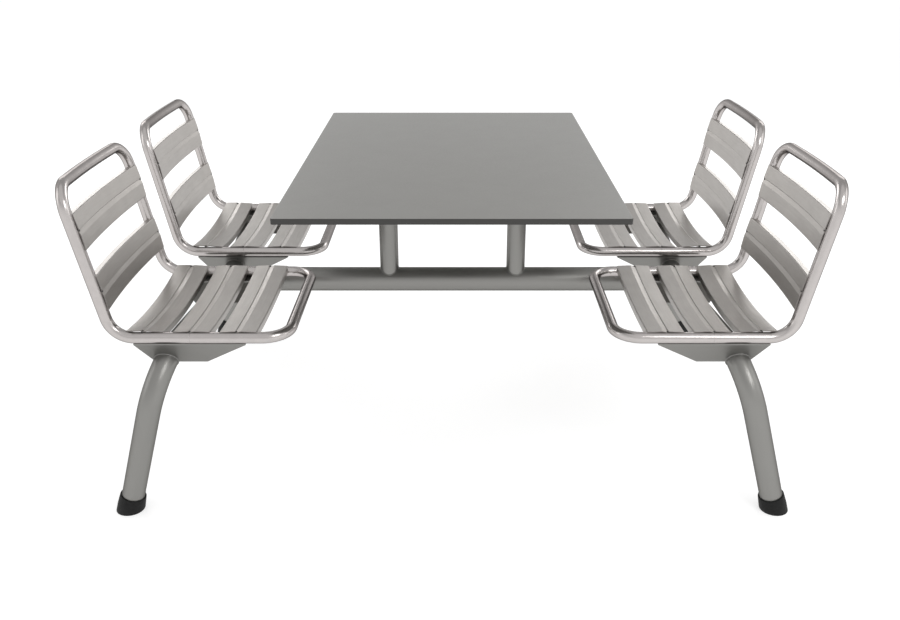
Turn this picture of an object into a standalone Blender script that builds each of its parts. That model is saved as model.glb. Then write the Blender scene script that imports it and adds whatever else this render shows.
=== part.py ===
"""Canteen table with four attached slatted chairs.

A laminate top stands on two posts over one round beam. Four bent legs are
welded to the beam, and each leg carries an aluminium chair on folded brackets.
Units are metres, +Z is up and the origin is on the floor under the middle of
the table. X runs across the table from seat to seat, Y along it.
"""

import math

import bmesh
import bpy
from mathutils import Matrix, Vector

# Gap left between pieces that touch
FIT = 0.0003

# Table top
TABLE_HEIGHT = 0.740
TOP_WIDTH = 0.748
TOP_DEPTH = 1.072
TOP_THICKNESS = 0.013
TOP_CORNER_RADIUS = 0.006
TOP_EDGE_RADIUS = 0.001

# Flat bars under the top, one on each post
BAR_LENGTH = 0.700
BAR_WIDTH = 0.070
BAR_THICKNESS = 0.006
BAR_END_RADIUS = 0.020

# Posts and beam
POST_DIAMETER = 0.050
POST_WALL = 0.003
POST_SPACING = 0.344
BEAM_DIAMETER = 0.065
BEAM_WALL = 0.003
BEAM_HEIGHT = 0.393
BEAM_LENGTH = 1.400
CAP_FLANGE = 0.003
CAP_PLUG = 0.018

# Legs: each leaves the beam at its root and bends down at its knee
LEG_DIAMETER = 0.053
LEG_WALL = 0.003
LEG_ROOT_OUT = 0.610
LEG_KNEE_OUT = 0.656
LEG_RUN_LENGTH = 0.518
LEG_BEND_RADIUS = 0.130
FOOT_OUT = 0.775
FOOT_RUN_LENGTH = 0.506

# Rubber feet
FOOT_DIAMETER = 0.0645
FOOT_MOUTH_DIAMETER = 0.0605
FOOT_HEIGHT = 0.043
FOOT_SOLE = 0.010
FOOT_LIP = 0.0025

# Seat frames
SEAT_TUBE_DIAMETER = 0.026
RAIL_SPACING = 0.408
SEAT_SPACING = 0.560
SEAT_LIFT = 0.0105
SEAT_FRONT = 0.368
SEAT_DEPTH = 0.390
BACK_HEIGHT = 0.344
BACK_RECLINE = math.radians(10.9)
SEAT_BEND_RADIUS = 0.058
TOP_BAR_BOW = 0.012

# Slats
SLAT_WIDTH = 0.084
SLAT_SHEET = 0.002
SLAT_FLANGE = 0.017
SLAT_CORNER_RADIUS = 0.004
SLAT_GROOVE_WIDTH = 0.013
SLAT_GROOVE_STEEP_WIDTH = 0.0035
SLAT_GROOVE_DEPTH = 0.0025
SLAT_OVERHANG = 0.003
SEAT_SLAT_PITCH = 0.1045
SEAT_SLAT_INSET = 0.072
SEAT_SLAT_SAGS = {"rear": 0.016, "middle": 0.012, "front": 0.008}
REAR_SLAT_TILT = math.radians(1.7)
BACK_SLAT_RISE = 0.107
BACK_SLAT_PITCH = 0.1425
BACK_SLAT_BOW = 0.011

# Seat brackets
BRACKET_SHEET = 0.004
BRACKET_FLANGE = 0.040
BRACKET_LIP = 0.003
BRACKET_FRONT = 0.463
BRACKET_LENGTH = 0.251
BRACKET_FOOT_FRONT = 0.562
BRACKET_FOOT_LENGTH = 0.120
BRACKET_DROP = 0.0235
BRACKET_SLOPE = math.radians(30.0)

# Facets
TUBE_SIDES = 20
RAIL_BEVEL_RESOLUTION = 3
LEG_BEVEL_RESOLUTION = 5
BEND_STEPS = 5
BOW_STEPS = 5
LEG_BEND_STEPS = 7
SLAT_STEPS = 5
CORNER_STEPS = 4
EDGE_STEPS = 2
ROUND_PROFILE = 0.5
SMOOTH_ANGLE = math.radians(35.0)
MERGE_DISTANCE = 1e-6

# Places that follow from the sizes above
LEG_RADIUS = LEG_DIAMETER / 2
BEAM_RADIUS = BEAM_DIAMETER / 2
BEAM_BORE_RADIUS = BEAM_RADIUS - BEAM_WALL
RAIL_RADIUS = SEAT_TUBE_DIAMETER / 2
HALF_RAILS = RAIL_SPACING / 2
RAIL_HEIGHT = BEAM_HEIGHT + LEG_RADIUS + SEAT_LIFT + RAIL_RADIUS
SEAT_BACK = SEAT_FRONT + SEAT_DEPTH
TOP_UNDERSIDE = TABLE_HEIGHT - TOP_THICKNESS
BAR_UNDERSIDE = TOP_UNDERSIDE - FIT - BAR_THICKNESS
LEG_DROP = Vector((FOOT_OUT - LEG_KNEE_OUT, FOOT_RUN_LENGTH - LEG_RUN_LENGTH, -BEAM_HEIGHT))
LEG_TILT = LEG_DROP.angle(Vector((0.0, 0.0, -1.0)))
LEG_END_HEIGHT = FOOT_SOLE + LEG_RADIUS * math.sin(LEG_TILT)
UPRIGHT = Vector((-math.sin(BACK_RECLINE), 0.0, math.cos(BACK_RECLINE)))
BACK_NORMAL = Vector((math.cos(BACK_RECLINE), 0.0, math.sin(BACK_RECLINE)))

SIDES = {"left": -1.0, "right": 1.0}
ENDS = {"front": -1.0, "back": 1.0}


def clear_scene():
    """Remove whatever the open file holds."""
    for obj in list(bpy.data.objects):
        bpy.data.objects.remove(obj, do_unlink=True)


def make_material(name, colour, roughness, metallic):
    """A plain Principled material."""
    material = bpy.data.materials.new(name)
    material.use_nodes = True
    shader = material.node_tree.nodes["Principled BSDF"]
    shader.inputs["Base Color"].default_value = (*colour, 1.0)
    shader.inputs["Roughness"].default_value = roughness
    shader.inputs["Metallic"].default_value = metallic
    return material


def make_materials():
    """One material for each finish on the object."""
    return {
        "laminate": make_material("grey_laminate", (0.26, 0.26, 0.25), 0.55, 0.0),
        "steel": make_material("satin_steel", (0.33, 0.33, 0.32), 0.40, 0.9),
        "tube": make_material("polished_aluminium", (0.62, 0.60, 0.58), 0.22, 1.0),
        "slat": make_material("satin_aluminium", (0.42, 0.41, 0.39), 0.42, 0.9),
        "rubber": make_material("black_rubber", (0.015, 0.015, 0.015), 0.70, 0.0),
        "plastic": make_material("black_plastic", (0.02, 0.02, 0.02), 0.50, 0.0),
    }


def add_object(name, mesh, material=None):
    """Put a mesh in the scene as a named object."""
    obj = bpy.data.objects.new(name, mesh)
    bpy.context.scene.collection.objects.link(obj)
    if material is not None:
        mesh.materials.append(material)
    return obj


def finish_mesh(bm, name, material, smooth=False):
    """Close a bmesh, turn its faces outwards and make an object of it."""
    bmesh.ops.remove_doubles(bm, verts=bm.verts[:], dist=MERGE_DISTANCE)
    bmesh.ops.recalc_face_normals(bm, faces=bm.faces[:])
    mesh = bpy.data.meshes.new(name)
    bm.to_mesh(mesh)
    bm.free()
    if smooth:
        mesh.shade_smooth()
        mesh.set_sharp_from_angle(angle=SMOOTH_ANGLE)
    return add_object(name, mesh, material)


def hide_cutter(obj):
    """Mark an object as a cutting tool."""
    obj.hide_render = True
    obj.display_type = "WIRE"
    return obj


def cut(obj, cutter):
    """Subtract a cutter from an object."""
    modifier = obj.modifiers.new("cut_" + cutter.name, "BOOLEAN")
    modifier.operation = "DIFFERENCE"
    modifier.solver = "EXACT"
    modifier.object = cutter


def rounded_path(corners, radius, steps, closed):
    """Points of a polyline whose corners are bent to one radius."""
    count = len(corners)
    points = []
    for index, corner in enumerate(corners):
        if not closed and index in (0, count - 1):
            points.append(corner)
            continue
        towards = (corner - corners[index - 1]).normalized()
        away = (corners[(index + 1) % count] - corner).normalized()
        turn = towards.angle(away)
        axis = towards.cross(away).normalized()
        start = corner - towards * radius * math.tan(turn / 2)
        centre = start + axis.cross(towards) * radius
        for step in range(steps + 1):
            spin = Matrix.Rotation(turn * step / steps, 3, axis)
            points.append(centre + spin @ (start - centre))
    return points


def make_tube(name, points, radius, resolution, closed=False, material=None):
    """A round bar along a path, as a mesh object."""
    curve = bpy.data.curves.new(name, "CURVE")
    curve.dimensions = "3D"
    curve.bevel_depth = radius
    curve.bevel_resolution = resolution
    curve.use_fill_caps = not closed
    spline = curve.splines.new("POLY")
    spline.points.add(len(points) - 1)
    for spline_point, point in zip(spline.points, points):
        spline_point.co = (*point, 1.0)
    spline.use_cyclic_u = closed
    path = bpy.data.objects.new(name, curve)
    bpy.context.scene.collection.objects.link(path)
    graph = bpy.context.evaluated_depsgraph_get()
    mesh = bpy.data.meshes.new_from_object(path.evaluated_get(graph))
    bpy.data.objects.remove(path, do_unlink=True)
    bm = bmesh.new()
    bm.from_mesh(mesh)
    return finish_mesh(bm, name, material, smooth=True)


def make_cylinder(name, radius, start, end, material=None):
    """A straight round bar between two points."""
    run = end - start
    turn = run.to_track_quat("Z", "Y").to_matrix().to_4x4()
    place = Matrix.Translation((start + end) / 2) @ turn
    bm = bmesh.new()
    bmesh.ops.create_cone(bm, cap_ends=True, segments=TUBE_SIDES, radius1=radius,
                          radius2=radius, depth=run.length, matrix=place)
    return finish_mesh(bm, name, material, smooth=True)


def make_plate(name, size, centre, corner_radius, edge_radius, material):
    """A flat plate with round corners and, if wanted, softened edges."""
    bm = bmesh.new()
    place = Matrix.Translation(centre) @ Matrix.Diagonal((*size, 1.0))
    bmesh.ops.create_cube(bm, size=1.0, matrix=place)
    corners = [edge for edge in bm.edges if edge.verts[0].co.xy == edge.verts[1].co.xy]
    bmesh.ops.bevel(bm, geom=corners, offset=corner_radius, segments=CORNER_STEPS,
                    profile=ROUND_PROFILE, affect="EDGES")
    if edge_radius:
        rims = [edge for edge in bm.edges if edge.verts[0].co.z == edge.verts[1].co.z]
        bmesh.ops.bevel(bm, geom=rims, offset=edge_radius, segments=EDGE_STEPS,
                        profile=ROUND_PROFILE, affect="EDGES")
    return finish_mesh(bm, name, material)


def leg_path(side, end):
    """One leg, from the axis of the beam out to its knee and down to its end."""
    root = Vector((side * LEG_ROOT_OUT, 0.0, BEAM_HEIGHT))
    knee = Vector((side * LEG_KNEE_OUT, end * LEG_RUN_LENGTH, BEAM_HEIGHT))
    floor = Vector((side * FOOT_OUT, end * FOOT_RUN_LENGTH, 0.0))
    tip = floor.lerp(knee, LEG_END_HEIGHT / BEAM_HEIGHT)
    return rounded_path([root, knee, tip], LEG_BEND_RADIUS, LEG_BEND_STEPS, closed=False)


def lengthen(points, extra):
    """The same path with both ends carried on, for a cutter."""
    first = points[0] + (points[0] - points[1]).normalized() * extra
    last = points[-1] + (points[-1] - points[-2]).normalized() * extra
    return [first] + points[1:-1] + [last]


def make_top(materials):
    """The laminate table top and the two bars that carry it."""
    top_centre = Vector((0.0, 0.0, TABLE_HEIGHT - TOP_THICKNESS / 2))
    make_plate("table_top", (TOP_WIDTH, TOP_DEPTH, TOP_THICKNESS), top_centre,
               TOP_CORNER_RADIUS, TOP_EDGE_RADIUS, materials["laminate"])
    for side_name, side in SIDES.items():
        centre = Vector((side * POST_SPACING / 2, 0.0, BAR_UNDERSIDE + BAR_THICKNESS / 2))
        make_plate(side_name + "_support_bar", (BAR_WIDTH, BAR_LENGTH, BAR_THICKNESS), centre,
                   BAR_END_RADIUS, 0.0, materials["steel"])


def beam_line():
    """The two ends of the beam's axis."""
    end = Vector((BEAM_LENGTH / 2, 0.0, BEAM_HEIGHT))
    return Vector((-end.x, end.y, end.z)), end


def make_beam(materials):
    """The cross beam, an open tube with a plug in each end."""
    start, end = beam_line()
    overrun = Vector((BEAM_DIAMETER, 0.0, 0.0))
    beam = make_cylinder("cross_beam", BEAM_RADIUS, start, end, materials["steel"])
    bore = make_cylinder("beam_bore", BEAM_BORE_RADIUS, start - overrun, end + overrun)
    cut(beam, hide_cutter(bore))
    profile = [
        (0.0, -CAP_PLUG),
        (BEAM_BORE_RADIUS - FIT, -CAP_PLUG),
        (BEAM_BORE_RADIUS - FIT, FIT),
        (BEAM_RADIUS, FIT),
        (BEAM_RADIUS, FIT + CAP_FLANGE / 2),
        (BEAM_RADIUS - CAP_FLANGE / 2, FIT + CAP_FLANGE),
        (0.0, FIT + CAP_FLANGE),
    ]
    for side_name, side in SIDES.items():
        turn = Matrix.Rotation(side * math.pi / 2, 4, "Y")
        place = Matrix.Translation(Vector((side * end.x, end.y, end.z))) @ turn
        bm = turned_shape(profile)
        bmesh.ops.transform(bm, matrix=place, verts=bm.verts[:])
        finish_mesh(bm, side_name + "_beam_cap", materials["plastic"], smooth=True)


def make_posts(materials, beam_cutter):
    """Two posts, saddled on the beam and closed by the support bars."""
    overrun = Vector((0.0, 0.0, POST_DIAMETER))
    for side_name, side in SIDES.items():
        foot = Vector((side * POST_SPACING / 2, 0.0, BEAM_HEIGHT))
        head = Vector((foot.x, foot.y, BAR_UNDERSIDE - FIT))
        post = make_cylinder(side_name + "_post", POST_DIAMETER / 2, foot, head, materials["steel"])
        bore_radius = POST_DIAMETER / 2 - POST_WALL
        bore = make_cylinder(side_name + "_post_bore", bore_radius, foot - overrun, head + overrun)
        cut(post, hide_cutter(bore))
        cut(post, beam_cutter)


def make_leg(name, side, end, beam_cutter, materials):
    """A bent leg saddled on the side of the beam, and its rubber foot.

    Gives back the cutter that fits other pieces to the leg.
    """
    path = leg_path(side, end)
    leg = make_tube(name + "_leg", path, LEG_RADIUS, LEG_BEVEL_RESOLUTION, material=materials["steel"])
    bore = make_tube(name + "_leg_bore", lengthen(path, LEG_DIAMETER), LEG_RADIUS - LEG_WALL,
                     LEG_BEVEL_RESOLUTION)
    cut(leg, hide_cutter(bore))
    cut(leg, beam_cutter)
    cutter = make_tube(name + "_leg_cutter", lengthen(path, FIT), LEG_RADIUS + FIT, LEG_BEVEL_RESOLUTION)
    hide_cutter(cutter)
    make_foot(name + "_foot", path, cutter, materials["rubber"])
    return cutter


def turned_shape(profile):
    """A body turned about Z from its outline of radius and height."""
    bm = bmesh.new()
    verts = [bm.verts.new((radius, 0.0, height)) for radius, height in profile]
    edges = [bm.edges.new(pair) for pair in zip(verts, verts[1:])]
    bmesh.ops.spin(bm, geom=verts + edges, cent=(0, 0, 0), axis=(0, 0, 1), angle=math.tau,
                   steps=TUBE_SIDES, use_merge=True)
    bmesh.ops.remove_doubles(bm, verts=bm.verts[:], dist=MERGE_DISTANCE)
    return bm


def make_foot(name, path, leg_cutter, material):
    """A rubber cup pushed onto the end of a leg, with a sole flat on the floor."""
    base = -LEG_END_HEIGHT * 2
    mouth = FOOT_HEIGHT - LEG_END_HEIGHT
    profile = [
        (0.0, base),
        (FOOT_DIAMETER / 2, base),
        (FOOT_DIAMETER / 2, -LEG_END_HEIGHT / 2),
        (FOOT_MOUTH_DIAMETER / 2, mouth - FOOT_LIP),
        (FOOT_MOUTH_DIAMETER / 2 - FOOT_LIP / 2, mouth),
        (0.0, mouth),
    ]
    bm = turned_shape(profile)
    tip = path[-1]
    tilt = Vector((0.0, 0.0, 1.0)).rotation_difference(path[-2] - tip).to_matrix().to_4x4()
    bmesh.ops.transform(bm, matrix=Matrix.Translation(tip) @ tilt, verts=bm.verts[:])
    floor_cut = bmesh.ops.bisect_plane(bm, geom=bm.verts[:] + bm.edges[:] + bm.faces[:],
                                       plane_co=(0, 0, 0), plane_no=(0, 0, -1), clear_outer=True)
    rim = [item for item in floor_cut["geom_cut"] if isinstance(item, bmesh.types.BMEdge)]
    bmesh.ops.edgeloop_fill(bm, edges=rim)
    foot = finish_mesh(bm, name, material, smooth=True)
    cut(foot, leg_cutter)


def seat_place(side, end):
    """Where a seat goes: its own +X looks at the table."""
    turn = Matrix.Rotation(0.0 if side < 0 else math.pi, 4, "Z")
    return Matrix.Translation((0.0, end * SEAT_SPACING / 2, 0.0)) @ turn


def bowed(point):
    """Move a point of the top bar back, most in the middle of the bar."""
    return point - BACK_NORMAL * TOP_BAR_BOW * (1 - (point.y / HALF_RAILS) ** 2)


def frame_path():
    """The closed loop of a seat frame: rails, uprights, front bar and top bar."""
    front = Vector((-SEAT_FRONT, 0.0, RAIL_HEIGHT))
    back = Vector((-SEAT_BACK, 0.0, RAIL_HEIGHT))
    top = back + UPRIGHT * BACK_HEIGHT / math.cos(BACK_RECLINE)
    across = Vector((0.0, HALF_RAILS, 0.0))
    corners = [front - across, front + across, back + across, top + across, top - across, back - across]
    points = rounded_path(corners, SEAT_BEND_RADIUS, BEND_STEPS, closed=True)
    path = []
    for point, after in zip(points, points[1:] + points[:1]):
        if point.z < top.z - SEAT_BEND_RADIUS:
            path.append(point)
            continue
        spans_bar = point.y * after.y < 0
        for step in range(BOW_STEPS if spans_bar else 1):
            path.append(bowed(point.lerp(after, step / BOW_STEPS)))
    return path


def slat_profile():
    """Cross-section of a slat: across the slat, and depth below its top face.

    The groove falls steeply from the rear half and rises gently to the front.
    """
    half = SLAT_WIDTH / 2
    groove = SLAT_GROOVE_WIDTH / 2
    groove_floor = SLAT_GROOVE_STEEP_WIDTH - groove
    wall = half - SLAT_SHEET
    shoulder = half - SLAT_CORNER_RADIUS
    rounding = SLAT_CORNER_RADIUS * (1 - math.sqrt(0.5))
    front = [
        (groove, 0.0),
        (shoulder, 0.0),
        (half - rounding, rounding),
        (half, SLAT_CORNER_RADIUS),
        (half, SLAT_FLANGE),
        (wall, SLAT_FLANGE),
        (wall, SLAT_CORNER_RADIUS),
        (shoulder, SLAT_SHEET),
        (groove, SLAT_SHEET),
    ]
    rear = [(-across, depth) for across, depth in reversed(front)]
    face = [(groove_floor, SLAT_GROOVE_DEPTH)]
    underside = [(groove_floor, SLAT_GROOVE_DEPTH + SLAT_SHEET)]
    return face + front + underside + rear


def make_slat(name, place, sag, frame_cutter, material):
    """A pressed slat, bowed between its two rails and coped onto them.

    In its own frame the rails run along X at Y = +-HALF_RAILS. The slat lies on
    their +Z side, with its groove seated on them.
    """
    under_radius = (HALF_RAILS ** 2 + sag ** 2) / (2 * sag)
    rail_reach = under_radius + RAIL_RADIUS + FIT
    centre_height = math.sqrt(rail_reach ** 2 - HALF_RAILS ** 2)
    top_radius = under_radius - SLAT_SHEET - SLAT_GROOVE_DEPTH
    end_angle = math.asin(HALF_RAILS / rail_reach) + SLAT_OVERHANG / under_radius
    bm = bmesh.new()
    verts = []
    for across, depth in slat_profile():
        radius = top_radius + depth
        height = centre_height - radius * math.cos(end_angle)
        verts.append(bm.verts.new((across, -radius * math.sin(end_angle), height)))
    section = bm.faces.new(verts)
    bmesh.ops.spin(bm, geom=[section], cent=(0, 0, centre_height), axis=(1, 0, 0),
                   angle=2 * end_angle, steps=SLAT_STEPS)
    bmesh.ops.transform(bm, matrix=place, verts=bm.verts[:])
    slat = finish_mesh(bm, name, material, smooth=True)
    cut(slat, frame_cutter)


def seat_slat_place(index):
    """Place of a seat slat in its seat, counted from the rear."""
    centre = -SEAT_BACK + SEAT_SLAT_INSET + index * SEAT_SLAT_PITCH
    place = Matrix.Translation((centre, 0.0, RAIL_HEIGHT))
    if index > 0:
        return place
    pivot = Matrix.Translation((SLAT_WIDTH / 2, 0.0, RAIL_RADIUS))
    return place @ pivot @ Matrix.Rotation(REAR_SLAT_TILT, 4, "Y") @ pivot.inverted()


def back_slat_place(index):
    """Place of a back slat in its seat, counted from below."""
    along = BACK_SLAT_RISE + index * BACK_SLAT_PITCH
    centre = Vector((-SEAT_BACK, 0.0, RAIL_HEIGHT)) + UPRIGHT * along
    axes = Matrix((-UPRIGHT, UPRIGHT.cross(BACK_NORMAL), BACK_NORMAL)).transposed().to_4x4()
    return Matrix.Translation(centre) @ axes


def make_bracket(name, place, hand, leg_cutter, material):
    """A folded bracket: a flange under one rail and a sloping web over the leg."""
    top = RAIL_HEIGHT - RAIL_RADIUS - FIT
    fold = top - BRACKET_SHEET
    bottom = BEAM_HEIGHT - BRACKET_DROP
    outer = HALF_RAILS + BRACKET_LIP
    lower = outer - (fold - bottom) * math.tan(BRACKET_SLOPE)
    web = BRACKET_SHEET / math.cos(BRACKET_SLOPE)
    profile = [
        (outer - BRACKET_FLANGE, top),
        (outer, top),
        (outer, fold),
        (lower, bottom),
        (lower - web, bottom),
        (outer - web, fold),
        (outer - BRACKET_FLANGE, fold),
    ]
    front = -BRACKET_FRONT
    foot_front = -BRACKET_FOOT_FRONT
    rear = front - BRACKET_LENGTH
    foot_rear = foot_front - BRACKET_FOOT_LENGTH
    bm = bmesh.new()
    verts = [bm.verts.new((rear, hand * across, height)) for across, height in profile]
    section = bm.faces.new(verts)
    grown = bmesh.ops.extrude_face_region(bm, geom=[section])
    moved = [item for item in grown["geom"] if isinstance(item, bmesh.types.BMVert)]
    bmesh.ops.translate(bm, verts=moved, vec=(BRACKET_LENGTH, 0.0, 0.0))
    bmesh.ops.recalc_face_normals(bm, faces=bm.faces[:])
    for edge, foot, facing in ((rear, foot_rear, -1.0), (front, foot_front, 1.0)):
        slant = Vector((facing * (fold - bottom), 0.0, -facing * (edge - foot)))
        sliced = bmesh.ops.bisect_plane(bm, geom=bm.verts[:] + bm.edges[:] + bm.faces[:],
                                        plane_co=(edge, 0.0, fold), plane_no=slant,
                                        clear_outer=True)
        rim = [item for item in sliced["geom_cut"] if isinstance(item, bmesh.types.BMEdge)]
        bmesh.ops.edgeloop_fill(bm, edges=rim)
    bmesh.ops.transform(bm, matrix=place, verts=bm.verts[:])
    bracket = finish_mesh(bm, name, material)
    cut(bracket, leg_cutter)


def make_seat(seat_name, side, end, leg_cutter, materials):
    """One chair: its frame, five slats and the two brackets under it."""
    place = seat_place(side, end)
    path = [place @ point for point in frame_path()]
    make_tube(seat_name + "_seat_frame", path, RAIL_RADIUS, RAIL_BEVEL_RESOLUTION, closed=True,
              material=materials["tube"])
    cutter = make_tube(seat_name + "_frame_cutter", path, RAIL_RADIUS + FIT, RAIL_BEVEL_RESOLUTION,
                       closed=True)
    hide_cutter(cutter)
    for index, (slat_name, sag) in enumerate(SEAT_SLAT_SAGS.items()):
        make_slat(seat_name + "_seat_slat_" + slat_name, place @ seat_slat_place(index), sag,
                  cutter, materials["slat"])
    for index, slat_name in enumerate(("lower", "upper")):
        make_slat(seat_name + "_back_slat_" + slat_name, place @ back_slat_place(index),
                  BACK_SLAT_BOW, cutter, materials["slat"])
    outer_hand = end if side < 0 else -end
    for bracket_name, hand in (("outer", outer_hand), ("inner", -outer_hand)):
        make_bracket(seat_name + "_bracket_" + bracket_name, place, hand, leg_cutter,
                     materials["steel"])


def main():
    """Build the whole table."""
    clear_scene()
    materials = make_materials()
    beam_cutter = hide_cutter(make_cylinder("beam_cutter", BEAM_RADIUS + FIT, *beam_line()))
    make_top(materials)
    make_beam(materials)
    make_posts(materials, beam_cutter)
    for end_name, end in ENDS.items():
        for side_name, side in SIDES.items():
            place_name = end_name + "_" + side_name
            leg_cutter = make_leg(place_name, side, end, beam_cutter, materials)
            make_seat(place_name, side, end, leg_cutter, materials)


main()
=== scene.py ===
"""Looks for a canteen table with four attached slatted chairs.

Laid out as an add-on and run as a script. Each operator makes one group of
pieces round the loaded solids, in metres, in the same frame: the origin is on
the floor under the table, X runs across it from seat to seat and Y along it.
"""

import math

import bmesh
import bpy
from bpy.props import FloatProperty, FloatVectorProperty, PointerProperty
from bpy.types import Operator, Panel, PropertyGroup
from mathutils import Color, Matrix, Vector


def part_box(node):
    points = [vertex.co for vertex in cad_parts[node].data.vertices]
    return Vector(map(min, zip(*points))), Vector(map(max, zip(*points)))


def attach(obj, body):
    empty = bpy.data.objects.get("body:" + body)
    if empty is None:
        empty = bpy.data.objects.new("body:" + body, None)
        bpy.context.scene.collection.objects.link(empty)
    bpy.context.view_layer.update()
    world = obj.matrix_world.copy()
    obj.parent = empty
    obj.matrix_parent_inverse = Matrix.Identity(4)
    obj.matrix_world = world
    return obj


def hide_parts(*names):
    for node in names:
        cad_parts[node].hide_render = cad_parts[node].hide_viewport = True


bl_info = {
    "name": "Canteen table with chairs",
    "version": (1, 0, 0),
    "blender": (4, 5, 0),
    "location": "3D View > Sidebar > Canteen",
    "description": "Dresses a canteen table and its chairs with finished tubes, slats and fittings",
    "category": "Object",
}

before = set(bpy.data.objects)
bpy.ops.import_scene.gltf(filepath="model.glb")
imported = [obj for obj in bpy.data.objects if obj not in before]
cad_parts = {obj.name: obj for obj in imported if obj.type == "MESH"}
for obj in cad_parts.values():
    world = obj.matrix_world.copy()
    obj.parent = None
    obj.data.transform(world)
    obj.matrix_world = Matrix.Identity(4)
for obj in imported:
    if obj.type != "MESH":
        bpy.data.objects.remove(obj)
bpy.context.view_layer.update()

BODY = "root"
SIDES = {"left": -1.0, "right": 1.0}
ENDS = {"front": -1.0, "back": 1.0}
HANDS = (1.0, -1.0)

# Name, side and end of each chair
SEATS = [(end + "_" + side, SIDES[side], ENDS[end]) for end in ENDS for side in SIDES]

# Facets and shading
TUBE_SIDES = 48
RIVET_SIDES = 16
BEND_STEPS = 14
BAR_STEPS = 10
SLAT_STEPS = 32
CORNER_STEPS = 8
ROUND_STEPS = 4
EDGE_STEPS = 3
SOFT_STEPS = 2
CREASE_STEPS = 1
ROUND_PROFILE = 0.5
KEEP_MATERIAL = -1
FLAT_WEIGHT = 100
SMOOTH_ANGLE = math.radians(35.0)
MERGE_DISTANCE = 1e-6

# Share by which a weld bead swells and narrows along its run
BEAD_RIPPLE = 0.08

# A millimetre, for the patterns of the finishes
MM = 0.001

# The range that most of a noise keeps to
NOISE_LOW = 0.3
NOISE_HIGH = 0.7

# Share of its light that a metal keeps where it is seen edge-on
EDGE_SHADE = (0.2, 0.2, 0.2, 1.0)

# Colour of the surround and of the floor's own light
WHITE = (1.0, 1.0, 1.0, 1.0)

# Where each softbox stands on the right, where it points, and its width and height
KEY_BOX = ((1.7, -2.3, 2.4), (0.0, -0.2, 0.5), (1.2, 1.0))
SIDE_BOX = ((3.4, -0.6, 1.7), (0.5, 0.0, 0.4), (1.4, 2.0))
BACK_BOX = ((2.4, 2.8, 2.1), (0.5, 0.0, 0.5), (1.8, 1.8))

# Width of the picture in pixels
IMAGE_WIDTH = 900


def linear(hex_code):
    """Turn an sRGB hex colour into the linear colour that a shader takes."""
    shares = [byte / 255 for byte in bytes.fromhex(hex_code.lstrip("#"))]
    return tuple(Color(shares).from_srgb_to_scene_linear())


def number(name, description, default, unit="NONE"):
    """A number that a user can change."""
    return FloatProperty(name=name, description=description, default=default, unit=unit, precision=4)


def length(name, description, default):
    """A size that a user can change."""
    return number(name, description, default, "LENGTH")


def turn(name, description, degrees):
    """An angle that a user can change."""
    return number(name, description, math.radians(degrees), "ROTATION")


def colour(name, description, hex_code):
    """A colour that a user can change."""
    shade = linear(hex_code)
    return FloatVectorProperty(name=name, description=description, default=shade, subtype="COLOR")


class CanteenTable(PropertyGroup):
    """Sizes of the top, the posts and the beam."""

    corner_radius: length("Corner radius", "Rounding of the top's corners", 0.006)
    edge_radius: length("Edge radius", "Softening of the top's edges", 0.001)
    post_diameter: length("Post diameter", "Outside of a post", 0.050)
    post_spacing: length("Post spacing", "Between the axes of the posts", 0.344)
    beam_diameter: length("Beam diameter", "Outside of the beam", 0.065)
    beam_height: length("Beam height", "From the floor to the beam's axis", 0.393)
    beam_length: length("Beam length", "Between the ends of the beam", 1.400)
    cap_flange: length("Cap flange", "Thickness of the plug's rim", 0.003)
    bead: length("Weld bead", "Radius of the weld beads", 0.0015)


class CanteenLegs(PropertyGroup):
    """Sizes of the legs and their feet."""

    diameter: length("Leg diameter", "Outside of a leg", 0.053)
    root_out: length("Root", "From the middle to where a leg leaves the beam", 0.610)
    knee_out: length("Knee out", "From the middle to the knee, across", 0.656)
    knee_along: length("Knee along", "From the beam to the knee", 0.518)
    bend_radius: length("Bend radius", "Bend of the knee, to the axis", 0.130)
    foot_out: length("Foot out", "From the middle to the foot, across", 0.775)
    foot_along: length("Foot along", "From the beam to the foot, along", 0.506)
    foot_diameter: length("Foot diameter", "Rubber foot at its sole", 0.0645)
    mouth_diameter: length("Mouth diameter", "Rubber foot at its mouth", 0.0605)
    foot_height: length("Foot height", "Rubber foot along the leg", 0.043)
    sole: length("Sole", "Rubber under the leg", 0.010)
    lip: length("Lip", "Rounding of the foot's mouth", 0.0025)


class CanteenSeat(PropertyGroup):
    """Sizes of a chair frame."""

    tube_diameter: length("Tube diameter", "Outside of the chair tube", 0.026)
    rail_spacing: length("Rail spacing", "Between the axes of the rails", 0.408)
    seat_spacing: length("Seat spacing", "Between neighbouring chairs", 0.560)
    rail_height: length("Rail height", "From the floor to the axis of the rails", 0.445)
    front: length("Front", "From the middle of the table to the front bar", 0.368)
    depth: length("Depth", "From the front bar to the foot of the back", 0.390)
    back_height: length("Back height", "From the rails to the top bar", 0.344)
    recline: turn("Recline", "Lean of the back", 10.9)
    bend_radius: length("Bend radius", "Bends of the chair tube, to its axis", 0.058)
    bow: length("Bow", "How far the top bar bows back", 0.012)
    seam_out: length("Seam", "From the middle of the table to the joint in the rails", 0.584)
    seam_width: length("Seam width", "Width of the joint line", 0.0008)
    seam_depth: length("Seam depth", "Depth of the joint line", 0.0003)


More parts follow.
